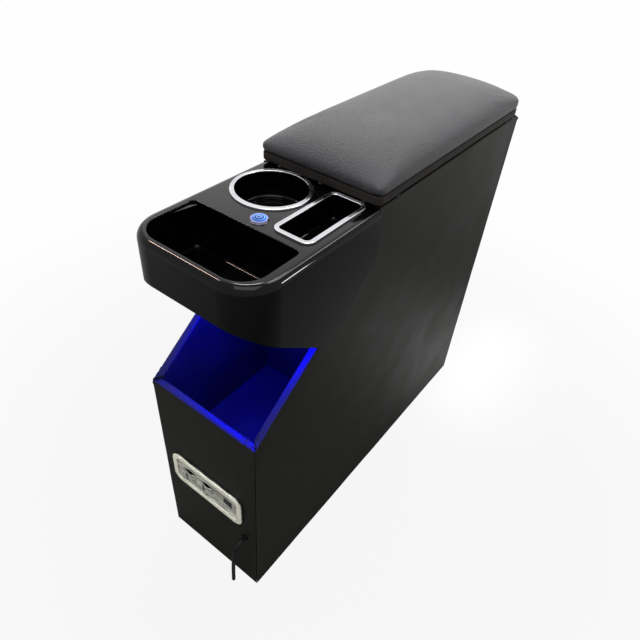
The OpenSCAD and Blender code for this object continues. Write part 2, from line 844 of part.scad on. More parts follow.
// Crowned pad. An upright edge runs round it, and above that the crown rises steeply at first,
// then ever more gently towards the middle. It is built from the outlines of its levels.
pad_half = lid_half + pad_over;
pad_front = lid_front - pad_over;
pad_foot = 1.5;
pad_rear_r = lid_rear_r + 4;
pad_power = 0.54;
pad_bulge = 2.2;
pad_levels = [0.1, 0.22, 0.34, 0.46, 0.57, 0.67, 0.76, 0.84, 0.9, 0.95, 0.985];
pad_steps = 10;

module pad_plan(inset) {
  round_rect([-pad_half + inset, pad_front + inset], [pad_half - inset, body_d - inset],
    lid_front_r - inset, pad_rear_r - inset);
}

// Points of one level from its left side to its right side: how far it lies from the pad's end
function side_rise(x) = 1 - pow(abs(x) / pad_half, pad_bulge);
function level_half(c) = pad_half * pow(1 - c, 1 / pad_bulge);
function level_end(c, x) = pad_rise * (1 - pow(max(0, 1 - c / side_rise(x)), 1 / pad_bulge));
function level_points(c) = [for (j = [-pad_steps:pad_steps])
  let (x = level_half(c) * sin(90 * j / pad_steps)) [x, level_end(c, x)]];

module pad_level(f) {
  points = level_points(pow(f, 1 / pad_power));
  front = [for (p = points) [p[0], pad_front + p[1]]];
  rear = [for (p = points) [-p[0], body_d - p[1]]];
  intersection() {
    polygon(concat(front, rear));
    pad_plan(0.02);
  }
}

module lid_pad() {
  slab = 0.02;
  rise = (pad_h - pad_edge) / max(pad_levels);
  color("#5c5d60") placed() translate([0, 0, pad_z]) hull() {
    linear_extrude(slab) pad_plan(pad_foot);
    translate([0, 0, pad_seam]) linear_extrude(pad_edge - pad_seam) pad_plan(0);
    for (f = pad_levels) translate([0, 0, pad_edge + f * rise - slab])
      linear_extrude(slab) pad_level(f);
  }
}

// HINGE

knuckle_pitch = hinge_l / knuckles;

// Every second knuckle, starting with knuckle first
module knuckle_row(first) {
  for (k = [first:2:knuckles - 1])
    translate([-hinge_l / 2 + k * knuckle_pitch + 0.2, hinge_y, hinge_z]) rotate([0, 90, 0])
      cylinder(r = barrel_r, h = knuckle_pitch - 0.4);
}

// Cuts that leave room in one leaf for the other leaf's knuckles
module knuckle_room(first) {
  for (k = [first:2:knuckles - 1])
    translate([-hinge_l / 2 + k * knuckle_pitch - 0.2, body_d - cut, hinge_z - barrel_r - 0.6])
      cube([knuckle_pitch + 0.4, 2 * barrel_r + 2 * cut, 2 * barrel_r + 1.2]);
}

// Holes of one leaf's screws, from y0 out through the leaf
module hinge_screw_holes(z, y0) {
  for (x = hinge_screw_x) translate([x * hinge_l, y0, z]) rotate([-90, 0, 0])
    cylinder(r = screw_r + fit_gap, h = body_d + leaf_t + cut - y0);
}

// One leaf's screws: the shank in the board and a flat head on the leaf
module leaf_screws(z) {
  for (x = hinge_screw_x) translate([x * hinge_l, body_d - hinge_screw_l, z]) rotate([-90, 0, 0]) {
    cylinder(r = screw_r, h = hinge_screw_l + leaf_t);
    translate([0, 0, hinge_screw_l + leaf_t]) cylinder(r1 = 2.6, r2 = 1.8, h = 1.2);
  }
}

module pin_bore() {
  translate([0, hinge_y, hinge_z]) rotate([0, 90, 0])
    cylinder(r = pin_r + run_gap, h = hinge_l + 2 * cut, center = true);
}

module hinge_leaf_body() {
  color("#3a3b3e") placed() difference() {
    union() {
      difference() {
        box([-hinge_l / 2, body_d, hinge_z - leaf_h], [hinge_l / 2, body_d + leaf_t, hinge_z]);
        knuckle_room(1);
      }
      knuckle_row(0);
    }
    pin_bore();
    hinge_screw_holes(body_screw_z, body_d - cut);
  }
}

module hinge_leaf_lid() {
  color("#3a3b3e") placed() difference() {
    union() {
      difference() {
        box([-hinge_l / 2, body_d, hinge_z], [hinge_l / 2, body_d + leaf_t, lid_z + lid_leaf_h]);
        knuckle_room(0);
      }
      knuckle_row(1);
    }
    pin_bore();
    hinge_screw_holes(lid_screw_z, body_d - cut);
  }
}

module hinge_pin() {
  color("#6a6c70") placed() translate([0, hinge_y, hinge_z]) rotate([0, 90, 0]) {
    cylinder(r = pin_r, h = hinge_l + 0.6, center = true);
    for (s = [0, 1]) mirror([0, 0, s]) translate([0, 0, hinge_l / 2 + 0.2])
      cylinder(r = pin_r + 0.6, h = pin_head_t);
  }
}

module hinge_screws() {
  color("#75777a") placed() leaf_screws(body_screw_z);
}

module lid_hinge_screws() {
  color("#75777a") placed() leaf_screws(lid_screw_z);
}

left_side_panel();
right_side_panel();
front_panel();
rear_panel();
base_panel();
divider_panel();
cubby_floor();
head_shell();
cup_well();
cup_ring();
slot_well();
slot_bezel();
switch_housing();
switch_nut();
switch_base();
switch_spring();
switch_cap();
light_strip();
deck_screws();
port_panel();
port_cover_left();
port_cover_right();
usb_socket_left();
usb_socket_right();
usb_socket_pair();
charger_board();
board_screws();
grommet();
inner_lead();
power_lead();
lid_bumpers();
lid_board_panel();
lid_pad();
hinge_leaf_body();
hinge_leaf_lid();
hinge_pin();
hinge_screws();
lid_hinge_screws();
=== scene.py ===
import json
import math
import bmesh
import bpy
from mathutils import Matrix, Vector

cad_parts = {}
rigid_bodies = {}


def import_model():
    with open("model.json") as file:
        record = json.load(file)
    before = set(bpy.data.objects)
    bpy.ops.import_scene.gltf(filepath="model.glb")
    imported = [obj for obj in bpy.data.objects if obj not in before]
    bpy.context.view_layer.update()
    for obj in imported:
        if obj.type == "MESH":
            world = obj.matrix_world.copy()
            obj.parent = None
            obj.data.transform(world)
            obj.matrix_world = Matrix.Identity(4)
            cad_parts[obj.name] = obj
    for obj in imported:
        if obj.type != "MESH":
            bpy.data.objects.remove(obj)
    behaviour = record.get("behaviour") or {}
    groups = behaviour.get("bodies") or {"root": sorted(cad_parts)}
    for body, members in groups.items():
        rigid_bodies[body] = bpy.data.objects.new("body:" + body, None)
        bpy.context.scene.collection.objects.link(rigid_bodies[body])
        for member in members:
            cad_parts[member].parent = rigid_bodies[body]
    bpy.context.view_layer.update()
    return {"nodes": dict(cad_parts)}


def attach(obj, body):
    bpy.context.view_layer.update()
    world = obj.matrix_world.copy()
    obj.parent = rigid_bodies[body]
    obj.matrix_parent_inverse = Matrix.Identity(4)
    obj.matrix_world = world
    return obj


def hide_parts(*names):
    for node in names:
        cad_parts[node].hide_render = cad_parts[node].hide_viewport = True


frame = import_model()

# Sizes are in millimetres, as in the part: X across, Y back from the front face, Z up
MIDDLE = 275.7  # lies over the row frame's origin
HALF = 78.5  # half the box's width
BOARD = 10  # a board with its covering
DEPTH = 551
TOP = 499
FRONT_H = 295
LIP = math.tan(math.radians(38))  # how steeply the cubby's lip rises
HEAD_HALF, HEAD_REAR, DECK = 81, 190, 498
CUP, CUP_R = (-27, 145.5), 38.6
SLOT_LOW, SLOT_HIGH = (26, 91.5), (62, 181.5)
BUTTON = (3, 92.5)
WELL_ROOM = 2.1  # from the inside of a well to the edge of its opening in the deck
PANEL_X, PANEL_Z = -2, 153.5
SLEEVE_X, SLEEVE_Z = 50, 19  # half sizes of the charging panel's sleeve
LEAD_X, LEAD_Z, LEAD_D = 59, 102, 5
LID_FRONT, LID_LOW, LID_SEAM = 185.5, 501, 512


def at(x, y, z):
    """A place in the part's millimetres, in the row frame."""
    return Vector((x, y - MIDDLE, z)) / 1000


def in_mm(c):
    """A place in the row frame, in the part's millimetres."""
    return Vector((c.x * 1000, c.y * 1000 + MIDDLE, c.z * 1000))


def spot(part):
    """The middle of a vertex, an edge or a face, in the part's millimetres."""
    if isinstance(part, bmesh.types.BMVert):
        return in_mm(part.co)
    if isinstance(part, bmesh.types.BMEdge):
        return in_mm((part.verts[0].co + part.verts[1].co) / 2)
    return in_mm(part.calc_center_median())


def alone(obj=None):
    """Deselects everything and takes up one object."""
    if bpy.context.mode != "OBJECT":
        bpy.ops.object.mode_set(mode="OBJECT")
    bpy.ops.object.select_all(action="DESELECT")
    bpy.context.view_layer.objects.active = obj
    if obj:
        obj.select_set(True)


def settle(name):
    """Names what an operator has just added and puts its place into its mesh."""
    obj = bpy.context.object
    obj.name = obj.data.name = name
    alone(obj)
    bpy.ops.object.transform_apply(location=True, rotation=True, scale=True)
    return obj


def block(name, low, high):
    """A box between two corners."""
    alone()
    a, b = at(*low), at(*high)
    bpy.ops.mesh.primitive_cube_add(size=1, location=(a + b) / 2, scale=b - a)
    return settle(name)


def drum(name, middle, radius, length, turn=(0, 0, 0), sides=64):
    """A cylinder, upright unless it is turned."""
    alone()
    bpy.ops.mesh.primitive_cylinder_add(vertices=sides, radius=radius / 1000, depth=length / 1000,
                                        location=at(*middle), rotation=turn)
    return settle(name)


class Bench:
    """Edit mode on one piece, with nothing selected at first."""

    def __init__(self, obj):
        self.obj = obj

    def __enter__(self):
        alone(self.obj)
        bpy.ops.object.mode_set(mode="EDIT")
        bpy.ops.mesh.select_all(action="DESELECT")
        return self

    def __exit__(self, *_):
        bpy.ops.object.mode_set(mode="OBJECT")

    def pick(self, kind, test):
        """Selects what passes a test on its place and on itself."""
        bpy.ops.mesh.select_mode(type=kind)
        bpy.ops.mesh.select_all(action="DESELECT")
        bm = bmesh.from_edit_mesh(self.obj.data)
        bm.normal_update()
        parts = {"VERT": bm.verts, "EDGE": bm.edges, "FACE": bm.faces}[kind]
        found = [p for p in parts if test(spot(p), p)]
        for p in found:
            p.select_set(True)
        bm.select_flush_mode()
        bmesh.update_edit_mesh(self.obj.data)
        if not found:
            raise RuntimeError(f"{self.obj.name}: nothing picked")

    def whole(self):
        bpy.ops.mesh.select_all(action="SELECT")

    def cut(self, point, normal, clear=False, fill=False):
        """Cuts right through along a plane; clear removes what lies behind it."""
        self.whole()
        bpy.ops.mesh.bisect(plane_co=at(*point), plane_no=Vector(normal).normalized(),
                            use_fill=fill, clear_inner=clear)

    def pull(self, x, y, z):
        """Extrudes what is selected."""
        move = {"value": (x / 1000, y / 1000, z / 1000)}
        bpy.ops.mesh.extrude_region_move(TRANSFORM_OT_translate=move)

    def shift(self, x, y, z):
        """Moves what is selected."""
        bpy.ops.transform.translate(value=(x / 1000, y / 1000, z / 1000))

    def round_off(self, radius, steps=3, what="EDGES"):
        bpy.ops.mesh.bevel(offset=radius / 1000, segments=steps, affect=what, profile=0.5)

    def net(self, axis, start, stop, pitch):
        """Cuts across at even steps, so that the faces can bend."""
        normal = [0, 0, 0]
        normal[axis] = 1
        steps = round((stop - start) / pitch)
        for i in range(1, steps):
            point = [0, 0, 0]
            point[axis] = start + (stop - start) * i / steps
            self.cut(point, normal)

    def merge(self, reach):
        """Makes one of the vertices that lie closer than a reach in metres."""
        self.whole()
        bpy.ops.mesh.remove_doubles(threshold=reach)

    def face_out(self):
        """Turns the normals outwards."""
        self.whole()
        bpy.ops.mesh.normals_make_consistent(inside=False)


def finish_with(obj, kind, **settings):
    """Adds a modifier and applies it."""
    mod = obj.modifiers.new(kind.lower(), kind)
    for key, value in settings.items():
        setattr(mod, key, value)
    alone(obj)
    bpy.ops.object.modifier_apply(modifier=mod.name)


def carve(obj, tool, operation="DIFFERENCE"):
    """Cuts one piece with another, or joins it on, and throws the tool away."""
    finish_with(obj, "BOOLEAN", object=tool, operation=operation, solver="EXACT")
    bpy.data.objects.remove(tool)


def smooth(obj, angle=35):
    """Smooth shading, with a crease where faces meet at more than the angle."""
    alone(obj)
    bpy.ops.object.shade_smooth_by_angle(angle=math.radians(angle))
    return obj


def flats_kept(obj):
    """Smooth shading that leaves flat faces flat beside their rounded edges."""
    smooth(obj, 50)
    finish_with(obj, "WEIGHTED_NORMAL", keep_sharp=True, weight=80)
    return obj


def moulded(obj, radius=0.5, angle=40):
    """Rounds a moulding's sharp edges."""
    finish_with(obj, "BEVEL", width=radius / 1000, segments=2, limit_method="ANGLE",
                angle_limit=math.radians(angle), use_clamp_overlap=True)
    return flats_kept(obj)


def wavy(obj, depth, size):
    """Lets a covering sink into its board in soft waves."""
    waves = bpy.data.textures.new(obj.name + "_waves", "CLOUDS")
    waves.noise_scale = size / 1000
    waves.noise_depth = 1
    finish_with(obj, "DISPLACE", texture=waves, texture_coords="LOCAL", strength=depth / 1000,
                mid_level=1.0)


def mirrored(obj, name):
    """A copy on the other side, with its own mesh."""
    alone(obj)
    bpy.ops.object.duplicate()
    twin = bpy.context.object
    twin.name = twin.data.name = name
    with Bench(twin) as b:
        b.whole()
        bpy.ops.transform.resize(value=(-1, 1, 1), center_override=(0, 0, 0))
        b.face_out()
    return twin


def from_frame(node, name):
    """A merged copy of a node's own mesh, for a piece that stands in its place."""
    mesh = frame["nodes"][node].data.copy()
    obj = bpy.data.objects.new(name, mesh)
    bpy.context.collection.objects.link(obj)
    mesh.materials.clear()
    with Bench(obj) as b:
        b.merge(2e-6)
        bpy.ops.mesh.dissolve_limited(angle_limit=math.radians(0.5))
    return obj


def thrown(name, middle, profile, sides=96):
    """Draws a ring of edges along a profile of (radius, height) pairs, as on a potter's wheel."""
    alone()
    radius, height = profile[0]
    centre = at(middle[0], middle[1], height)
    bpy.ops.mesh.primitive_circle_add(vertices=sides, radius=radius / 1000, location=centre)
    obj = settle(name)
    with Bench(obj) as b:
        b.whole()
        for r, z in profile[1:]:
            b.pull(0, 0, z - height)
            bpy.ops.transform.resize(value=(r / radius, r / radius, 1), center_override=centre)
            radius, height = r, z
        b.merge(1e-6)
        b.whole()
        bpy.ops.mesh.fill_holes(sides=0)
        b.face_out()
    return obj


def arc(radius, height, bend, start, stop, steps=6):
    """Points of a quarter bend in a profile; angles in degrees, 0 outwards and 90 up."""
    turns = [math.radians(start + (stop - start) * i / steps) for i in range(steps + 1)]
    return [(radius + bend * math.cos(t), height + bend * math.sin(t)) for t in turns]


def along(edge, axis):
    """Whether an edge runs along an axis."""
    run = edge.verts[1].co - edge.verts[0].co
    return run.length > 1e-6 and abs(run[axis]) > 0.99 * run.length


# Camera

def camera():
    """The photo's view, fitted to the object's straight edges and corners."""
    yaw, pitch, roll = 0.5927, 0.7102, 0.08658
    focal, picture = 560.325, 640  # pixels
    level = math.cos(pitch)
    back = Vector((math.sin(yaw) * level, -math.cos(yaw) * level, math.sin(pitch)))
    right = (-back).cross(Vector((0, 0, 1))).normalized()
    up = back.cross(right)
    tilt = Matrix.Rotation(roll, 3, back)
    turn = Matrix((tilt @ right, tilt @ up, back)).transposed().to_4x4()
    data = bpy.data.cameras.new("camera")
    data.sensor_width = 36
    data.lens = focal * data.sensor_width / picture
    data.clip_start = 0.01
    cam = bpy.data.objects.new("camera", data)
    cam.matrix_world = Matrix.Translation(at(314.27, -252.5, 775.42)) @ turn
    bpy.context.collection.objects.link(cam)
    bpy.context.scene.camera = cam


camera()

# Power lead, on the part's own route; its X is counted from the grommet

LEAD_ROUTE = [(0, -2, 102), (0, -6, 102), (0, -10, 101), (-0.2, -13.5, 99), (-0.5, -16, 96),
              (-1, -17.5, 92), (-1.6, -18.3, 86), (-2.2, -18.6, 78), (-3.2, -18.6, 66),
              (-4.4, -18.2, 54), (-5.6, -17.6, 42), (-7, -16.8, 28), (-8.4, -15.8, 14),
              (-9.6, -15, 0.4)]


def lead():
    """A curve through the route, turned into a mesh tube; its bare line gives the measured path."""
    line = bpy.data.curves.new("lead", "CURVE")
    line.dimensions = "3D"
    line.resolution_u = 6
    route = [at(LEAD_X + x, y, z) for x, y, z in LEAD_ROUTE]
    strand = line.splines.new("BEZIER")
    strand.bezier_points.add(len(route) - 1)
    for knot, place in zip(strand.bezier_points, route):
        knot.co = place
        knot.handle_left_type = knot.handle_right_type = "AUTO"
    guide = bpy.data.objects.new("lead_path", line)
    bpy.context.collection.objects.link(guide)
    path = [v.co.copy() for v in guide.to_mesh().vertices]
    guide.to_mesh_clear()
    line.bevel_depth = LEAD_D / 2000
    line.bevel_resolution = 5
    line.use_fill_caps = True
    alone(guide)
    bpy.ops.object.convert(target="MESH")
    obj = settle("power_lead_sheath")
    smooth(obj, 50)
    return obj


# Materials

def linear(code):
    """The linear colour of an sRGB hex value."""
    parts = [int(code[i:i + 2], 16) / 255 for i in (1, 3, 5)]
    bent = [c / 12.92 if c <= 0.04045 else ((c + 0.055) / 1.055) ** 2.4 for c in parts]
    return (*bent, 1.0)


def add(tree, kind, settings=None, links=None):
    """Adds a node. Its settings are sockets or properties, its links come from other outputs."""
    node = tree.nodes.new("ShaderNode" + kind)
    for key, value in (settings or {}).items():
        if isinstance(key, int) or key in node.inputs:
            node.inputs[key].default_value = value
        else:
            setattr(node, key, value)
    for key, source in (links or {}).items():
        tree.links.new(source, node.inputs[key])
    return node


def blank(name, **settings):
    """A new material, its tree, its shader with constants set, and object coordinates."""
    mat = bpy.data.materials.new(name)
    mat.use_nodes = True
    tree = mat.node_tree
    skin = tree.nodes["Principled BSDF"]
    for key, value in settings.items():
        skin.inputs[key.replace("_", " ")].default_value = value
    return mat, tree, skin, add(tree, "TexCoord").outputs["Object"]


def feed(tree, skin, **sources):
    """Links outputs to the shader's sockets."""
    for key, source in sources.items():
        tree.links.new(source, skin.inputs[key.replace("_", " ")])


def per_mm(size):
    """Texture scale at which one feature is that many millimetres."""
    return 1000 / size


def noise(tree, where, size, detail, output="Fac"):
    """Noise with features of that many millimetres."""
    settings = {"Scale": per_mm(size), "Detail": detail}
    return add(tree, "TexNoise", settings, {"Vector": where}).outputs[output]


def tones(tree, fac, *stops):
    """A colour ramp from (place, hex) pairs."""
    ramp = add(tree, "ValToRGB", links={"Fac": fac})
    marks = ramp.color_ramp.elements
    while len(marks) < len(stops):
        marks.new(0.5)
    for mark, (place, code) in zip(marks, stops):
        mark.position = place
        mark.color = linear(code)
    return ramp.outputs["Color"]


def span(tree, value, low, high, start=0.0, stop=1.0):
    """Maps a value from start and stop to low and high."""
    return add(tree, "MapRange", {1: start, 2: stop, 3: low, 4: high}, {0: value}).outputs[0]


def mottle(tree, skin, fac, dark, light, rough_low, rough_high):
    """Lets colour and roughness drift together with a noise."""
    feed(tree, skin, Base_Color=tones(tree, fac, (0.3, dark), (0.7, light)),
         Roughness=span(tree, fac, rough_low, rough_high, 0.3, 0.7))


def emboss(tree, skin, height, depth, strength):
    """Bump of a depth in millimetres."""
    bump = add(tree, "Bump", {"Distance": depth / 1000, "Strength": strength}, {"Height": height})
    feed(tree, skin, Normal=bump.outputs[0])


def leatherette(name, dark, light, cell, depth, rough, shine):
    # PVC leatherette, embossed: pebbles that catch the light one by one, patches a shade apart
    mat, tree, skin, where = blank(name, IOR=1.5, Specular_IOR_Level=shine)
    mottle(tree, skin, noise(tree, where, 70, 4.0), dark, light, rough - 0.05, rough + 0.06)
    drift = add(tree, "VectorMath", {"operation": "SCALE", "Scale": cell / 1500},
                {0: noise(tree, where, cell * 1.5, 2.0, "Color")})
    moved = add(tree, "VectorMath", {"operation": "ADD"}, {0: where, 1: drift.outputs[0]})
    pebble = add(tree, "TexVoronoi", {"feature": "F1", "Scale": per_mm(cell)},
                 {"Vector": moved.outputs[0]})
    height = add(tree, "Math", {"operation": "MULTIPLY_ADD", 1: -0.8},
                 {0: pebble.outputs["Distance"], 2: noise(tree, where, cell / 3, 2.0)})
    emboss(tree, skin, height.outputs[0], depth, 0.7)
    return mat


def gloss_abs():
    # ABS, moulded and polished: deep black with a clear, slightly rippled reflection
    mat, tree, skin, where = blank("abs_polished", Base_Color=linear("#030303"), IOR=1.35,
                                   Specular_IOR_Level=0.26)
    dust = noise(tree, where, 45, 5.0)
    feed(tree, skin, Roughness=span(tree, dust, 0.05, 0.11, 0.35, 0.75))
    emboss(tree, skin, noise(tree, where, 35, 1.0), 0.4, 0.25)
    return mat


def metal(name, dark, light, rough_low, rough_high, size, metallic=1.0):
    # Zinc, chrome or silver lacquer: one metal tone with faint cloudy wear in its gloss
    mat, tree, skin, where = blank(name, Metallic=metallic)
    mottle(tree, skin, noise(tree, where, size, 6.0), dark, light, rough_low, rough_high)
    return mat


def silver_panel():
    # ABS, silver lacquered: a pale rim and a smoky streaked field behind it; inside the windows the
    # colour goes near black, painted shade
    mat, tree, skin, where = blank("abs_silver_streaked", Metallic=0.2, Roughness=0.32)
    drawn = add(tree, "Mapping", {"vector_type": "POINT", "Scale": (0.09, 1, 1)}, {"Vector": where})
    rim = tones(tree, noise(tree, where, 14, 6.0), (0.3, "#c6c6b4"), (0.7, "#e4e4d4"))
    field = tones(tree, noise(tree, drawn.outputs[0], 1.6, 4.0),
                  (0.38, "#2c2c2b"), (0.5, "#7c7c74"), (0.6, "#c4c4ba"))
    depth = add(tree, "SeparateXYZ", None, {0: where}).outputs["Y"]
    sunk = span(tree, depth, 0.0, 1.0, at(0, -2.4, 0).y, at(0, -1.7, 0).y)
    # Painted shade: surfaces lying more than about a millimetre behind the field, the windows'
    # insides and the sleeve, go near black
    inside = span(tree, depth, 0.0, 1.0, at(0, -1.1, 0).y, at(0, -0.5, 0).y)
    face = add(tree, "Mix", {"data_type": "RGBA"}, {0: sunk, 6: rim, 7: field})
    both = add(tree, "Mix", {"data_type": "RGBA", 7: linear("#0a0a0b")},
               {0: inside, 6: face.outputs[2]})
    feed(tree, skin, Base_Color=both.outputs[2])
    return mat


def plastic(name, dark, light, rough, grain, depth, ior=1.5, shine=0.5):
    # Moulded plastic, rubber or board: a fine spark-eroded grain that scatters the highlight
    mat, tree, skin, where = blank(name, IOR=ior, Specular_IOR_Level=shine)
    mottle(tree, skin, noise(tree, where, 30, 3.0), dark, light, rough - 0.05, rough + 0.05)
    emboss(tree, skin, noise(tree, where, grain, 3.0), depth, 0.6)
    return mat


def button_light(tree, where):
    """Rings of light round the button's middle: their colour, the radius in mm, the power."""
    centred = add(tree, "Mapping", {"vector_type": "POINT", "Location": -at(*BUTTON, 0)},
                  {"Vector": where})
    flat = add(tree, "VectorMath", {"operation": "MULTIPLY", 1: (1000, 1000, 0)},
               {0: centred.outputs[0]})
    radius = add(tree, "VectorMath", {"operation": "LENGTH"}, {0: flat.outputs[0]}).outputs["Value"]
    rings = tones(tree, span(tree, radius, 0.0, 1.0, 0.0, 9.0), (0.0, "#a8d8ff"),
                  (0.08, "#1030c0"), (0.17, "#020a58"), (0.27, "#a0d8ff"), (0.35, "#0c28c0"),
                  (0.48, "#041070"), (0.58, "#7cd0ff"), (0.68, "#0c40d0"), (0.82, "#1684f0"),
                  (0.93, "#0818a0"))
    aside = add(tree, "SeparateXYZ", None, {0: flat.outputs[0]}).outputs["Y"]
    return rings, radius, span(tree, aside, 0.5, 1.5, -7.0, 6.0)


def lit_cap():
    # Polycarbonate, moulded and lit from behind: pale rings on deep blue
    mat, tree, skin, where = blank("polycarbonate_lit", Base_Color=linear("#041048"),
                                   Roughness=0.16, IOR=1.58, Specular_IOR_Level=0.1)
    rings, _, power = button_light(tree, where)
    feed(tree, skin, Emission_Color=rings, Emission_Strength=power)
    return mat


def lit_ring():
    # Chromed brass with a lit polycarbonate ring let into its flange: a bright rim round blue
    # light; the chrome's dark lavender tone is a painted reflection of that blue light
    mat, tree, skin, where = blank("brass_chromed_lit", Roughness=0.14, Specular_IOR_Level=0.1)
    rings, radius, power = button_light(tree, where)
    edge = span(tree, radius, 1.0, 0.0, 8.2, 8.5)
    strength = add(tree, "Math", {"operation": "MULTIPLY"}, {0: edge, 1: power})
    # Painted reflection: the chrome's base colour is tinted dark lavender, as if it mirrored the
    # blue light
    feed(tree, skin, Emission_Color=rings, Emission_Strength=strength.outputs[0],
         Base_Color=tones(tree, noise(tree, where, 4, 4.0), (0.3, "#5e5a70"), (0.7, "#8a8698")),
         Metallic=span(tree, edge, 1.0, 0.0))
    return mat


def lit_chips():
    # Silicone strip with light chips: milky blue, the only thing in the cubby that shines
    mat, tree, skin, where = blank("silicone_lit", Base_Color=linear("#8f96d8"), Roughness=0.4,
                                   Emission_Strength=2.0)
    glow = tones(tree, noise(tree, where, 12, 2.0), (0.35, "#2a30ff"), (0.65, "#4a58ff"))
    feed(tree, skin, Emission_Color=glow)
    return mat


BOX_SKIN = leatherette("pvc_leatherette_fine", "#151512", "#1f1f1a", 1.2, 0.14, 0.48, 0.12)
LID_SKIN = leatherette("pvc_leatherette_matt", "#252220", "#302c2a", 1.4, 0.16, 0.55, 0.08)
PAD_SKIN = leatherette("pvc_leatherette_pebbled", "#1f2023", "#292a2e", 2.0, 0.9, 0.36, 0.46)
GLOSS = gloss_abs()
CHROME = metal("chromed_abs_polished", "#dfe0e4", "#eeeff2", 0.05, 0.10, 20)
ZINC = metal("steel_zinc_plated", "#a2a5a8", "#b9bcbf", 0.26, 0.38, 6)
LACQUER = plastic("steel_powder_coated", "#1b1b1d", "#26262a", 0.42, 0.7, 0.03)
COVER_SKIN = metal("abs_silver_lacquered", "#5c5c58", "#d4d4c8", 0.2, 0.3, 5, 0.4)
BLACK = plastic("polyamide_moulded", "#131314", "#1c1c1e", 0.5, 0.6, 0.03)
RUBBER = plastic("rubber_moulded", "#0e0e0f", "#171718", 0.62, 0.9, 0.05, 1.52)
PANEL_SKIN = silver_panel()
SHEATH = plastic("pvc_sheath_extruded", "#070707", "#0f0f10", 0.34, 1.4, 0.02, 1.53, 0.16)
FIBREBOARD = plastic("fibreboard_stained", "#2f2c28", "#3d3935", 0.8, 0.8, 0.12)
GREEN = plastic("epoxy_board_masked", "#0e4424", "#17603a", 0.35, 1.5, 0.02)
CAP_LIGHT = lit_cap()
LIT_RING = lit_ring()
CHIP_LIGHT = lit_chips()


def fit(obj, body, slot, skin, *nodes):
    """The piece moves with a body, has a finish and stands for nodes of the frame."""
    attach(obj, body)
    if nodes:
        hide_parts(*nodes)
    obj.data.materials.clear()
    obj.data.materials.append(skin)
    return obj


# Covered boards

SEAM = 0.3
EDGE_ROLL, LIP_ROLL, TOP_ROLL = 1.2, 2.4, 6  # roundings of upright edges, the cubby's lip, the top
MITRE_LAP = 1.5  # the covering is squeezed in the mitres, so that no light comes through


def outline_edges(p, e):
    """Edges where two faces meet at a corner."""
    return len(e.link_faces) == 2 and e.calc_face_angle(0) > 0.3


def pucker(obj, side):
    """Gathers the covering at a front corner of the lip, in folds that fan from its inside."""
    inner = Vector((side * (HALF - BOARD), BOARD, FRONT_H + 3))
    reach, folds, depth = 17, 11, 0.00045
    for fine in (20, 16):
        with Bench(obj) as b:
            b.pick("FACE", lambda p, f: (p - inner).length < fine)
            bpy.ops.mesh.subdivide(number_cuts=2)
    outward = [v.normal.copy() for v in obj.data.vertices]
    for v, normal in zip(obj.data.vertices, outward):
        away = in_mm(v.co) - inner
        if away.length > reach:
            continue
        turn = math.atan2(-away.y, side * away.x)
        near = min(1, away.length / 9) * max(0, 1 - (away.length / reach) ** 2)
        v.co += normal * depth * near * (math.cos(folds * turn + 0.5 * math.sin(3 * turn)) - 1)


def side_board():
    """Right side board: the rear part, drawn forward under the head and down to the low front."""
    neck, under_deck = 120, 489  # how far back the cubby opens, and the board's top in the head
    neck_z = FRONT_H + neck * LIP
    obj = block("side_board_right", (HALF - BOARD, HEAD_REAR + SEAM, 0), (HALF, DEPTH, TOP))
    with Bench(obj) as b:
        b.cut((0, 0, under_deck), (0, 0, 1))
        b.cut((0, 0, neck_z), (0, 0, 1))
        b.pick("FACE", lambda p, f: f.normal.y < -0.9 and p.z < under_deck)
        b.pull(0, neck - HEAD_REAR - SEAM, 0)
        b.pick("FACE", lambda p, f: f.normal.y < -0.9 and p.z < neck_z and p.y < neck + 1)
        b.pull(0, -neck, 0)
        b.pick("VERT", lambda p, v: p.y < 1 and p.z > FRONT_H)
        b.shift(0, 0, FRONT_H - neck_z)
        b.pick("VERT", lambda p, v: p.y < 1 and p.x < HALF - 1)
        b.shift(0, BOARD, 0)
        b.pick("VERT", lambda p, v: abs(p.y - BOARD) < 5 and p.z > 200 and p.x < HALF - 1)
        b.shift(0, 0, BOARD * LIP)
        b.pick("VERT", lambda p, v: p.y > DEPTH - 1 and p.x < HALF - 1)
        b.shift(0, -BOARD, 0)
        b.pick("EDGE", lambda p, e: p.y > DEPTH - 12 and p.z > TOP - 1)
        b.round_off(TOP_ROLL, 4)
        b.pick("EDGE", lambda p, e: along(e, 2) and p.x > HALF - 1
               and (p.y < 1 or p.y > DEPTH - 1))
        b.round_off(EDGE_ROLL, 2)
        b.pick("EDGE", lambda p, e: outline_edges(p, e) and p.z > FRONT_H - 3 and not along(e, 0)
               and not along(e, 2) and p.y > 1.5)
        b.round_off(LIP_ROLL, 3)
        b.net(1, 0, DEPTH, 8)
        b.net(2, 0, TOP, 8)
    left = mirrored(obj, "side_board_left")
    for piece, side in ((obj, 1), (left, -1)):
        pucker(piece, side)
        wavy(piece, 0.9, 75)
        smooth(piece, 50)
    fit(obj, "box", "box_leatherette", BOX_SKIN, "right_side_panel")
    fit(left, "box", "box_leatherette", BOX_SKIN, "left_side_panel")


def end_board(name, y0, y1, top):
    """A front or rear board between the mitres of the side boards."""
    inner = y1 if y0 < DEPTH / 2 else y0
    obj = block(name, (-HALF, y0, 0), (HALF, y1, top))
    with Bench(obj) as b:
        for side in (-1, 1):
            b.pick("VERT", lambda p, v: abs(p.y - inner) < 0.5 and side * p.x > 0)
            b.shift(-side * (BOARD - MITRE_LAP), 0, 0)
    return obj


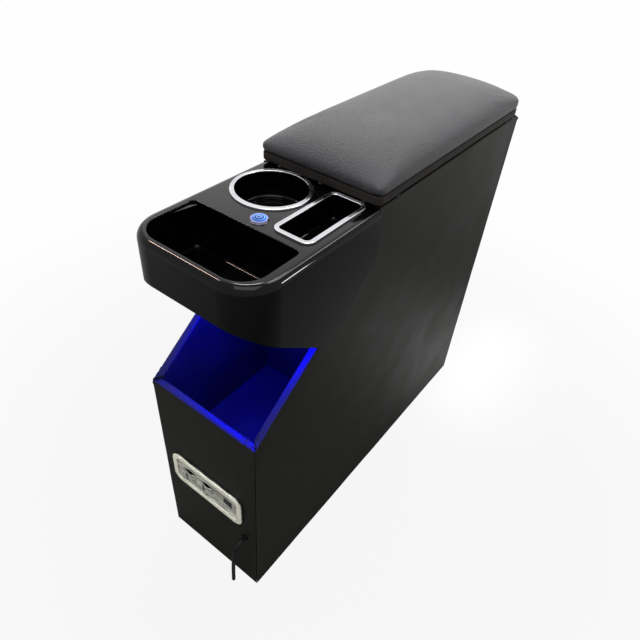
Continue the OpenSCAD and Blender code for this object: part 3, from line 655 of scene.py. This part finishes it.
def front_board():
    """Low front board, with holes for the charging panel's sleeve and the lead's grommet."""
    room_x, room_z = SLEEVE_X + 0.1, SLEEVE_Z + 0.1
    obj = end_board("front_board", 0, BOARD, FRONT_H)
    with Bench(obj) as b:
        b.pick("VERT", lambda p, v: p.y > 5 and p.z > 200)
        b.shift(0, 0, 1.5)
        b.pick("EDGE", lambda p, e: along(e, 0) and p.z > 200)
        b.round_off(LIP_ROLL, 3)
        b.pick("EDGE", lambda p, e: along(e, 2) and p.y < 1)
        b.round_off(EDGE_ROLL, 2)
    carve(obj, block("plug_hole", (PANEL_X - room_x, -5, PANEL_Z - room_z),
                     (PANEL_X + room_x, 15, PANEL_Z + room_z)))
    carve(obj, drum("lead_hole", (LEAD_X, 5, LEAD_Z), 4.6, 30, (math.pi / 2, 0, 0)))
    with Bench(obj) as b:
        b.net(0, -HALF, HALF, 8)
        b.net(2, 0, FRONT_H, 8)
    pucker(obj, 1)
    pucker(obj, -1)
    wavy(obj, 0.8, 60)
    fit(smooth(obj, 50), "box", "box_leatherette", BOX_SKIN, "front_panel")


def rear_board():
    obj = end_board("rear_board", DEPTH - BOARD, DEPTH, TOP)
    with Bench(obj) as b:
        b.pick("EDGE", lambda p, e: along(e, 0) and p.z > TOP - 1 and p.y > DEPTH - 1)
        b.round_off(TOP_ROLL, 4)
        b.pick("EDGE", lambda p, e: along(e, 2) and p.y > DEPTH - 1)
        b.round_off(EDGE_ROLL, 2)
        b.net(0, -HALF, HALF, 10)
        b.net(2, 0, TOP, 10)
    wavy(obj, 0.7, 70)
    fit(smooth(obj, 50), "box", "box_leatherette", BOX_SKIN, "rear_panel")


# Head

def head():
    """The glossy head: a solid with its recesses, then hollowed to a moulded shell."""
    nose, nose_z = -5, 450  # the front wall and the height of its lower edge
    under, rise = math.tan(math.radians(36)), math.tan(math.radians(46.5))
    tip_y, tip_z, corner_z = 114.38, 363.27, 442.95  # a cheek's lowest and rearmost corners
    tray_low, tray_high, tray_deep = (-69.5, 4.5), (66.5, 77), 53
    obj = block("head_moulding", (-HEAD_HALF, nose, 340), (HEAD_HALF, HEAD_REAR, DECK))
    with Bench(obj) as b:
        b.pick("EDGE", lambda p, e: along(e, 2) and p.y < 0)
        b.round_off(40, 16)
        b.cut((0, nose, nose_z), (0, under, 1), clear=True, fill=True)
        b.cut((0, tip_y, tip_z), (0, -rise, 1), clear=True, fill=True)
        b.pick("EDGE", lambda p, e: p.z > DECK - 0.1 and p.y < HEAD_REAR - 0.1)
        b.round_off(8, 7)
    tray = block("tray_room", (*tray_low, DECK - tray_deep), (*tray_high, DECK + 20))
    with Bench(tray) as b:
        b.pick("EDGE", lambda p, e: along(e, 2) and p.y < 10)
        b.round_off(27, 12)
        b.pick("EDGE", lambda p, e: along(e, 2) and p.y > 76)
        b.round_off(6, 6)
        b.pick("EDGE", lambda p, e: p.z < DECK - tray_deep + 0.1)
        b.round_off(4, 4)
    carve(obj, tray)
    carve(obj, drum("cup_room", (*CUP, DECK), CUP_R + WELL_ROOM, 16, sides=96))
    carve(obj, block("slot_room", (SLOT_LOW[0] - WELL_ROOM, SLOT_LOW[1] - WELL_ROOM, DECK - 8),
                     (SLOT_HIGH[0] + WELL_ROOM, SLOT_HIGH[1] + WELL_ROOM, DECK + 8)))
    carve(obj, drum("switch_room", (*BUTTON, DECK), 7.9, 16))
    with Bench(obj) as b:
        b.pick("EDGE", lambda p, e: p.z > DECK - 0.1 and -70 < p.x < 67 and 4 < p.y < 77.5
               and outline_edges(p, e))
        b.round_off(1.0, 3)
        b.pick("FACE", lambda p, f: (f.normal.z < -0.3 and p.z < 455)
               or (f.normal.y > 0.95 and p.y > HEAD_REAR - 0.1)
               or (p.z < DECK - 1 and p.y > 80 and abs(p.x) < 70))
        bpy.ops.mesh.delete(type="FACE")
        b.pick("VERT", lambda p, v: abs(p.y - HEAD_REAR) < 0.5 and abs(p.z - corner_z) < 2)
        b.round_off(5.6, 5, "VERTICES")
        b.pick("VERT", lambda p, v: abs(p.y - tip_y) < 0.5 and abs(p.z - tip_z) < 1)
        b.round_off(2, 3, "VERTICES")
    finish_with(obj, "SOLIDIFY", thickness=0.0024, offset=-1, use_even_offset=True)
    fit(moulded(obj, 0.5), "box", "gloss_black", GLOSS, "head_shell")


def cup():
    """Cup well: a turned liner with a rounded foot, a raised floor and a flange under the ring."""
    foot, r = DECK - 28, CUP_R
    profile = [(0.3, foot + 0.4), (29.4, foot + 0.4), (30, foot)] + arc(r - 3, foot + 3, 3, -90, 0)
    profile += arc(r + 0.6, DECK + 0.4, 0.6, 180, 90, 3) + [(r + 3.4, DECK + 1), (r + 3.4, DECK)]
    profile += [(r + 1.9, DECK)] + arc(r - 3, foot + 3, 4.9, 0, -90) + [(0.3, foot - 1.9)]
    fit(smooth(thrown("cup_liner", CUP, profile), 40), "box", "gloss_black", GLOSS, "cup_well")


def cup_trim():
    """Chrome ring: a broad top that leans a little outwards, with rounded shoulders."""
    r = CUP_R
    profile = [(r, DECK + 1.05), (r, DECK + 1.8)] + arc(r + 0.5, DECK + 1.8, 0.5, 180, 90, 3)
    for groove in (1.7, 3.1):
        profile += [(r + groove, DECK + 2.2), (r + groove + 0.1, DECK + 1.9),
                    (r + groove + 0.4, DECK + 1.9), (r + groove + 0.5, DECK + 2.2)]
    profile += arc(r + 4.1, DECK + 1.2, 0.9, 80, 0, 4) + [(r + 5, DECK), (r + 3.6, DECK)]
    profile += [(r + 3.6, DECK + 1.05), (r, DECK + 1.05)]
    fit(smooth(thrown("cup_trim", CUP, profile, 128), 50), "box", "chrome_trim", CHROME, "cup_ring")


def slot_block(name, grow, low, high, radius, foot_radius=0):
    """A block over the slot's outline, grown all round, with rounded corners."""
    obj = block(name, (SLOT_LOW[0] - grow, SLOT_LOW[1] - grow, low),
                (SLOT_HIGH[0] + grow, SLOT_HIGH[1] + grow, high))
    with Bench(obj) as b:
        b.pick("EDGE", lambda p, e: along(e, 2))
        b.round_off(radius, 7)
        if foot_radius:
            b.pick("EDGE", lambda p, e: p.z < low + 0.01)
            b.round_off(foot_radius, 4)
    return obj


def slot():
    """Slot well: a moulded box with a flange, opened from above."""
    foot = DECK - 26
    obj = slot_block("slot_liner", 1.9, foot - 2, DECK + 0.5, 6.9, 3)
    carve(obj, slot_block("flange", 3.5, DECK, DECK + 1, 8.5), "UNION")
    carve(obj, slot_block("room", 0, foot, DECK + 9, 5, 3))
    fit(moulded(obj, 0.3), "box", "gloss_black", GLOSS, "slot_well")


def slot_trim():
    """Chrome bezel round the slot."""
    obj = slot_block("slot_trim", 5, DECK, DECK + 2.3, 10)
    carve(obj, slot_block("room", 3.6, DECK - 2, DECK + 1.05, 8.6))
    carve(obj, slot_block("room", 0, DECK - 3, DECK + 9, 5))
    with Bench(obj) as b:
        b.pick("EDGE", lambda p, e: p.z > DECK + 2.2 and outline_edges(p, e))
        b.round_off(0.8, 4)
    for groove in (1.6, 3.0):
        tool = slot_block("groove", groove + 0.5, DECK + 1.9, DECK + 4, 5.5 + groove)
        carve(tool, slot_block("room", groove, DECK, DECK + 5, 5 + groove))
        carve(obj, tool)
    fit(flats_kept(obj), "box", "chrome_trim", CHROME, "slot_bezel")


# Charging panel and grommet

def charging_panel():
    """Silver panel: a rounded rim, a sunk field, windows for the sockets and a sleeve behind."""
    x, z, wall = PANEL_X, PANEL_Z, 2.4
    obj = block("charging_panel", (x - 59, -3, z - 27), (x + 59, 2.4, z + 27))
    with Bench(obj) as b:
        b.pick("EDGE", lambda p, e: along(e, 1))
        b.round_off(13, 10)
        b.pick("EDGE", lambda p, e: p.y < -2.9)
        b.round_off(1.3, 4)
        b.pick("FACE", lambda p, f: f.normal.y < -0.99 and f.calc_area() > 1e-3)
        bpy.ops.mesh.inset(thickness=0.0062)
        b.pull(0, 1.4, 0)
        bpy.ops.transform.resize(value=(0.992, 1, 0.98), center_override=at(x, 0, z))
        bpy.ops.mesh.inset(thickness=0.0016)
        b.pull(0, -0.25, 0)
    carve(obj, block("sleeve", (x - SLEEVE_X, 0.8, z - SLEEVE_Z),
                     (x + SLEEVE_X, 12, z + SLEEVE_Z)), "UNION")
    carve(obj, block("sleeve_room", (x - SLEEVE_X + wall, 0.9, z - SLEEVE_Z + wall),
                     (x + SLEEVE_X - wall, 14, z + SLEEVE_Z - wall)))
    for left, right, low, high in ((-39.9, -20.1, 138, 164), (-9.9, 9.9, 138, 164),
                                   (27.1, 40.9, 150, 163)):
        carve(obj, block("window", (left, -5, low), (right, 14, high)))
    fit(moulded(obj, 0.35), "box", "silver_plastic", PANEL_SKIN, "port_panel")


def port_cover(side):
    """A flip cover: the frame's own shape with rounded edges."""
    node = "port_cover_" + side
    obj = moulded(from_frame(node, node + "_shell"), 0.25, 30)
    fit(obj, side + "_cover", "silver_plastic", COVER_SKIN, node)


def lead_grommet():
    """Rubber grommet: a turned ring whose flange lies on the covering."""
    profile = [(2.7, 0), (2.7, 1.6)] + arc(3.5, 1.6, 0.8, 180, 90, 3) + arc(5.2, 0.9, 1.3, 80, 0, 4)
    profile += [(6.5, -0.3), (4.5, -0.3), (4.5, -10), (2.7, -10), (2.7, 0)]
    obj = thrown("grommet_ring", (0, MIDDLE), profile, sides=48)
    with Bench(obj) as b:
        b.whole()
        bpy.ops.transform.rotate(value=-math.pi / 2, orient_axis="X", center_override=(0, 0, 0))
        bpy.ops.transform.translate(value=at(LEAD_X, 0, LEAD_Z))
        b.face_out()
    fit(smooth(obj, 50), "box", "black_rubber", RUBBER, "grommet")


# Lid

def lid_board():
    """The lid's covered board: tight corners in front, wide ones at the rear."""
    obj = block("lid_board_cover", (-HALF, LID_FRONT, LID_LOW), (HALF, DEPTH, LID_SEAM))
    with Bench(obj) as b:
        b.pick("EDGE", lambda p, e: along(e, 2) and p.y < 200)
        b.round_off(7, 5)
        b.pick("EDGE", lambda p, e: along(e, 2) and p.y > 500)
        b.round_off(20, 8)
        b.pick("EDGE", lambda p, e: not along(e, 2)
               and (p.z < LID_LOW + 0.1 or p.z > LID_SEAM - 0.1))
        b.round_off(2.6, 4)
        b.net(0, -HALF, HALF, 9)
        b.net(1, LID_FRONT, DEPTH, 9)
    wavy(obj, 0.9, 48)
    fit(smooth(obj, 50), "lid", "lid_leatherette", LID_SKIN, "lid_board_panel")


def puff(obj, seam_z, pressure, share, cap):
    """Blows a piece up with cloth pressure, held below its seam. Each point keeps a share of its
    move, and the share falls off smoothly as the move nears the cap in millimetres."""
    frames = 20
    held = obj.vertex_groups.new(name="seam")
    held.add([v.index for v in obj.data.vertices if v.co.z * 1000 < seam_z], 1, "REPLACE")
    cloth = obj.modifiers.new("cloth", "CLOTH")
    cloth.settings.use_pressure = True
    cloth.settings.uniform_pressure_force = pressure
    cloth.settings.vertex_group_mass = "seam"
    cloth.settings.effector_weights.gravity = 0
    cloth.settings.quality = 6
    cloth.point_cache.frame_start = 1
    cloth.point_cache.frame_end = frames
    scene = bpy.context.scene
    for step in range(1, frames + 1):
        scene.frame_set(step)
    blown = obj.evaluated_get(bpy.context.evaluated_depsgraph_get())
    moved = [v.co.copy() for v in blown.data.vertices]
    obj.modifiers.remove(cloth)
    scene.frame_set(1)
    for v, to in zip(obj.data.vertices, moved):
        move = (to - v.co) * share
        if move.length > 1e-9:
            v.co += move * math.tanh(move.length * 1000 / cap) * cap / 1000 / move.length
    obj.vertex_groups.remove(held)


def lid_pad():
    """The pad: the frame's crowned shape, remeshed and puffed up a little by cloth pressure."""
    obj = from_frame("lid_pad", "pad_cushion")
    obj.data.remesh_voxel_size = 0.0035
    alone(obj)
    bpy.ops.object.voxel_remesh()
    finish_with(obj, "SMOOTH", factor=0.5, iterations=3)
    puff(obj, LID_SEAM + 3, 4, 0.3, 1.2)
    finish_with(obj, "SMOOTH", factor=0.5, iterations=3)
    finish_with(obj, "SUBSURF", levels=1, render_levels=1)
    alone(obj)
    bpy.ops.object.shade_smooth()
    fit(obj, "lid", "lid_leatherette", PAD_SKIN, "lid_pad")


side_board()
front_board()
rear_board()
head()
cup()
cup_trim()
slot()
slot_trim()
charging_panel()
port_cover("left")
port_cover("right")
lead_grommet()
lid_board()
lid_pad()
fit(lead(), "box", "lead_sheath", SHEATH, "power_lead")

# Nodes of the frame that keep their own shape get their materials

DRESS = (
    (FIBREBOARD, "base_panel"),
    (BOX_SKIN, "divider_panel cubby_floor"),
    (LIT_RING, "switch_housing"),
    (CAP_LIGHT, "switch_cap"),
    (CHIP_LIGHT, "light_strip"),
    (BLACK, "switch_base"),
    (GREEN, "charger_board"),
    (SHEATH, "inner_lead"),
    (RUBBER, "lid_bumpers"),
    (LACQUER, "deck_screws hinge_leaf_body hinge_leaf_lid"),
    (ZINC, "switch_nut switch_spring usb_socket_left usb_socket_right usb_socket_pair "
           "board_screws hinge_pin hinge_screws lid_hinge_screws"),
)
for skin, names in DRESS:
    for name in names.split():
        node = frame["nodes"][name]
        if not node.material_slots:
            node.data.materials.append(None)
        for place in node.material_slots:
            place.link = "OBJECT"
            place.material = skin



# Floor, background and light

SOFT_LIGHT = 0.45  # how strongly the white room lights the object
PAPER = 0.25  # how much light the floor sends back to the glossy head
SENT_ON = ("Is Glossy Ray", "Is Transmission Ray")


def rays(tree, *kinds):
    """1 for a ray of any of these kinds."""
    path = add(tree, "LightPath")
    found = path.outputs[kinds[0]]
    for kind in kinds[1:]:
        found = add(tree, "Math", {"operation": "MAXIMUM"},
                    {0: found, 1: path.outputs[kind]}).outputs[0]
    return found


def stage():
    # Backdrop paper: it keeps the object's shadow close by and is plain white further out
    mat = bpy.data.materials.new("backdrop_paper")
    mat.use_nodes = True
    tree = mat.node_tree
    tree.nodes.clear()
    where = add(tree, "TexCoord").outputs["Object"]
    reach = add(tree, "VectorMath", {"operation": "LENGTH"}, {0: where}).outputs["Value"]
    seen = add(tree, "Math", {"operation": "MULTIPLY"},
               {0: span(tree, reach, 0.9, 0.99, 0.4, 0.9), 1: rays(tree, "Is Camera Ray")})
    share = add(tree, "Math", {"operation": "MULTIPLY_ADD"},
                {0: span(tree, reach, 0.0, 0.9, 0.7, 1.6), 1: rays(tree, *SENT_ON),
                 2: seen.outputs[0]})
    paper = add(tree, "BsdfDiffuse", {"Color": (PAPER, PAPER, PAPER, 1)})
    white = add(tree, "Emission", {"Color": (1, 1, 1, 1), "Strength": 1.0})
    both = add(tree, "MixShader", None,
               {0: share.outputs[0], 1: paper.outputs[0], 2: white.outputs[0]})
    add(tree, "OutputMaterial", None, {"Surface": both.outputs[0]})
    alone()
    bpy.ops.mesh.primitive_plane_add(size=24, location=(0, 0, 0))
    floor = settle("floor")
    floor.data.materials.append(mat)
    return mat


def lamp(name, place, aim, size, power, colour="#ffffff"):
    """An area lamp at one place in millimetres, aimed at another; its size is in metres."""
    data = bpy.data.lights.new(name, "AREA")
    data.shape = "RECTANGLE"
    data.size, data.size_y = size
    data.energy = power
    data.color = linear(colour)[:3]
    obj = bpy.data.objects.new(name, data)
    turn = (at(*aim) - at(*place)).to_track_quat("-Z", "Y").to_matrix().to_4x4()
    obj.matrix_world = Matrix.Translation(at(*place)) @ turn
    bpy.context.collection.objects.link(obj)
    return obj


def shine_on(light, keep):
    """The lamp lights only the pieces for which keep(its materials) holds."""
    group = bpy.data.collections.new("lit_by_" + light.name)
    light.light_linking.receiver_collection = group
    for obj in bpy.context.scene.objects:
        if obj.type == "MESH" and keep([place.material for place in obj.material_slots]):
            group.objects.link(obj)


floor_skin = stage()
world = bpy.data.worlds.new("studio")
bpy.context.scene.world = world
world.use_nodes = True
sky = world.node_tree
sky.nodes["Background"].inputs["Color"].default_value = (1, 1, 1, 1)
sky.links.new(span(sky, rays(sky, "Is Camera Ray", *SENT_ON), SOFT_LIGHT, 1.0),
              sky.nodes["Background"].inputs["Strength"])
rear_box = lamp("softbox_over_rear", (-800, 1500, 1700), (0, 300, 400), (3.0, 2.2), 25)
lamp("softbox_over_front", (300, -300, 1900), (0, 200, 300), (1.0, 1.0), 12)
lamp("softbox_over_lid", (-60, 840, 1760), (68, 198, 526), (0.35, 0.35), 5)
glints = (
    lamp("strip_front", (-865, 66, 1500), (-10, 0, 498), (0.06, 0.34), 9, "#ffdccb"),
    lamp("strip_side", (300, 900, 1600), (70, 60, 490), (0.10, 0.8), 5),
    lamp("lamp_corner", (-553, 654, 1576), (63, 10, 498), (0.25, 0.12), 6),
    lamp("lamp_right", (1129, 926, 761), (79, 44, 495), (0.14, 0.16), 5),
)
floor_box = lamp("softbox_on_floor", (135, 600, 90), (135, 600, 0), (0.08, 0.3), 0.7)
fill = lamp("panel_fill", (-300, -900, 500), (0, 0, 150), (0.4, 0.4), 6)
glow = lamp("cubby_light", (0, 58, 436), (0, 58, 0), (0.11, 0.02), 6.8, "#0000ff")
shine_on(rear_box, lambda skins: CHROME not in skins)
shine_on(floor_box, lambda skins: floor_skin in skins)
shine_on(fill, lambda skins: PANEL_SKIN in skins or COVER_SKIN in skins)
shine_on(glow, lambda skins: floor_skin not in skins)
for glint in glints:
    shine_on(glint, lambda skins: GLOSS in skins)

bpy.context.scene.view_settings.view_transform = "Standard"

bpy.context.view_layer.update()
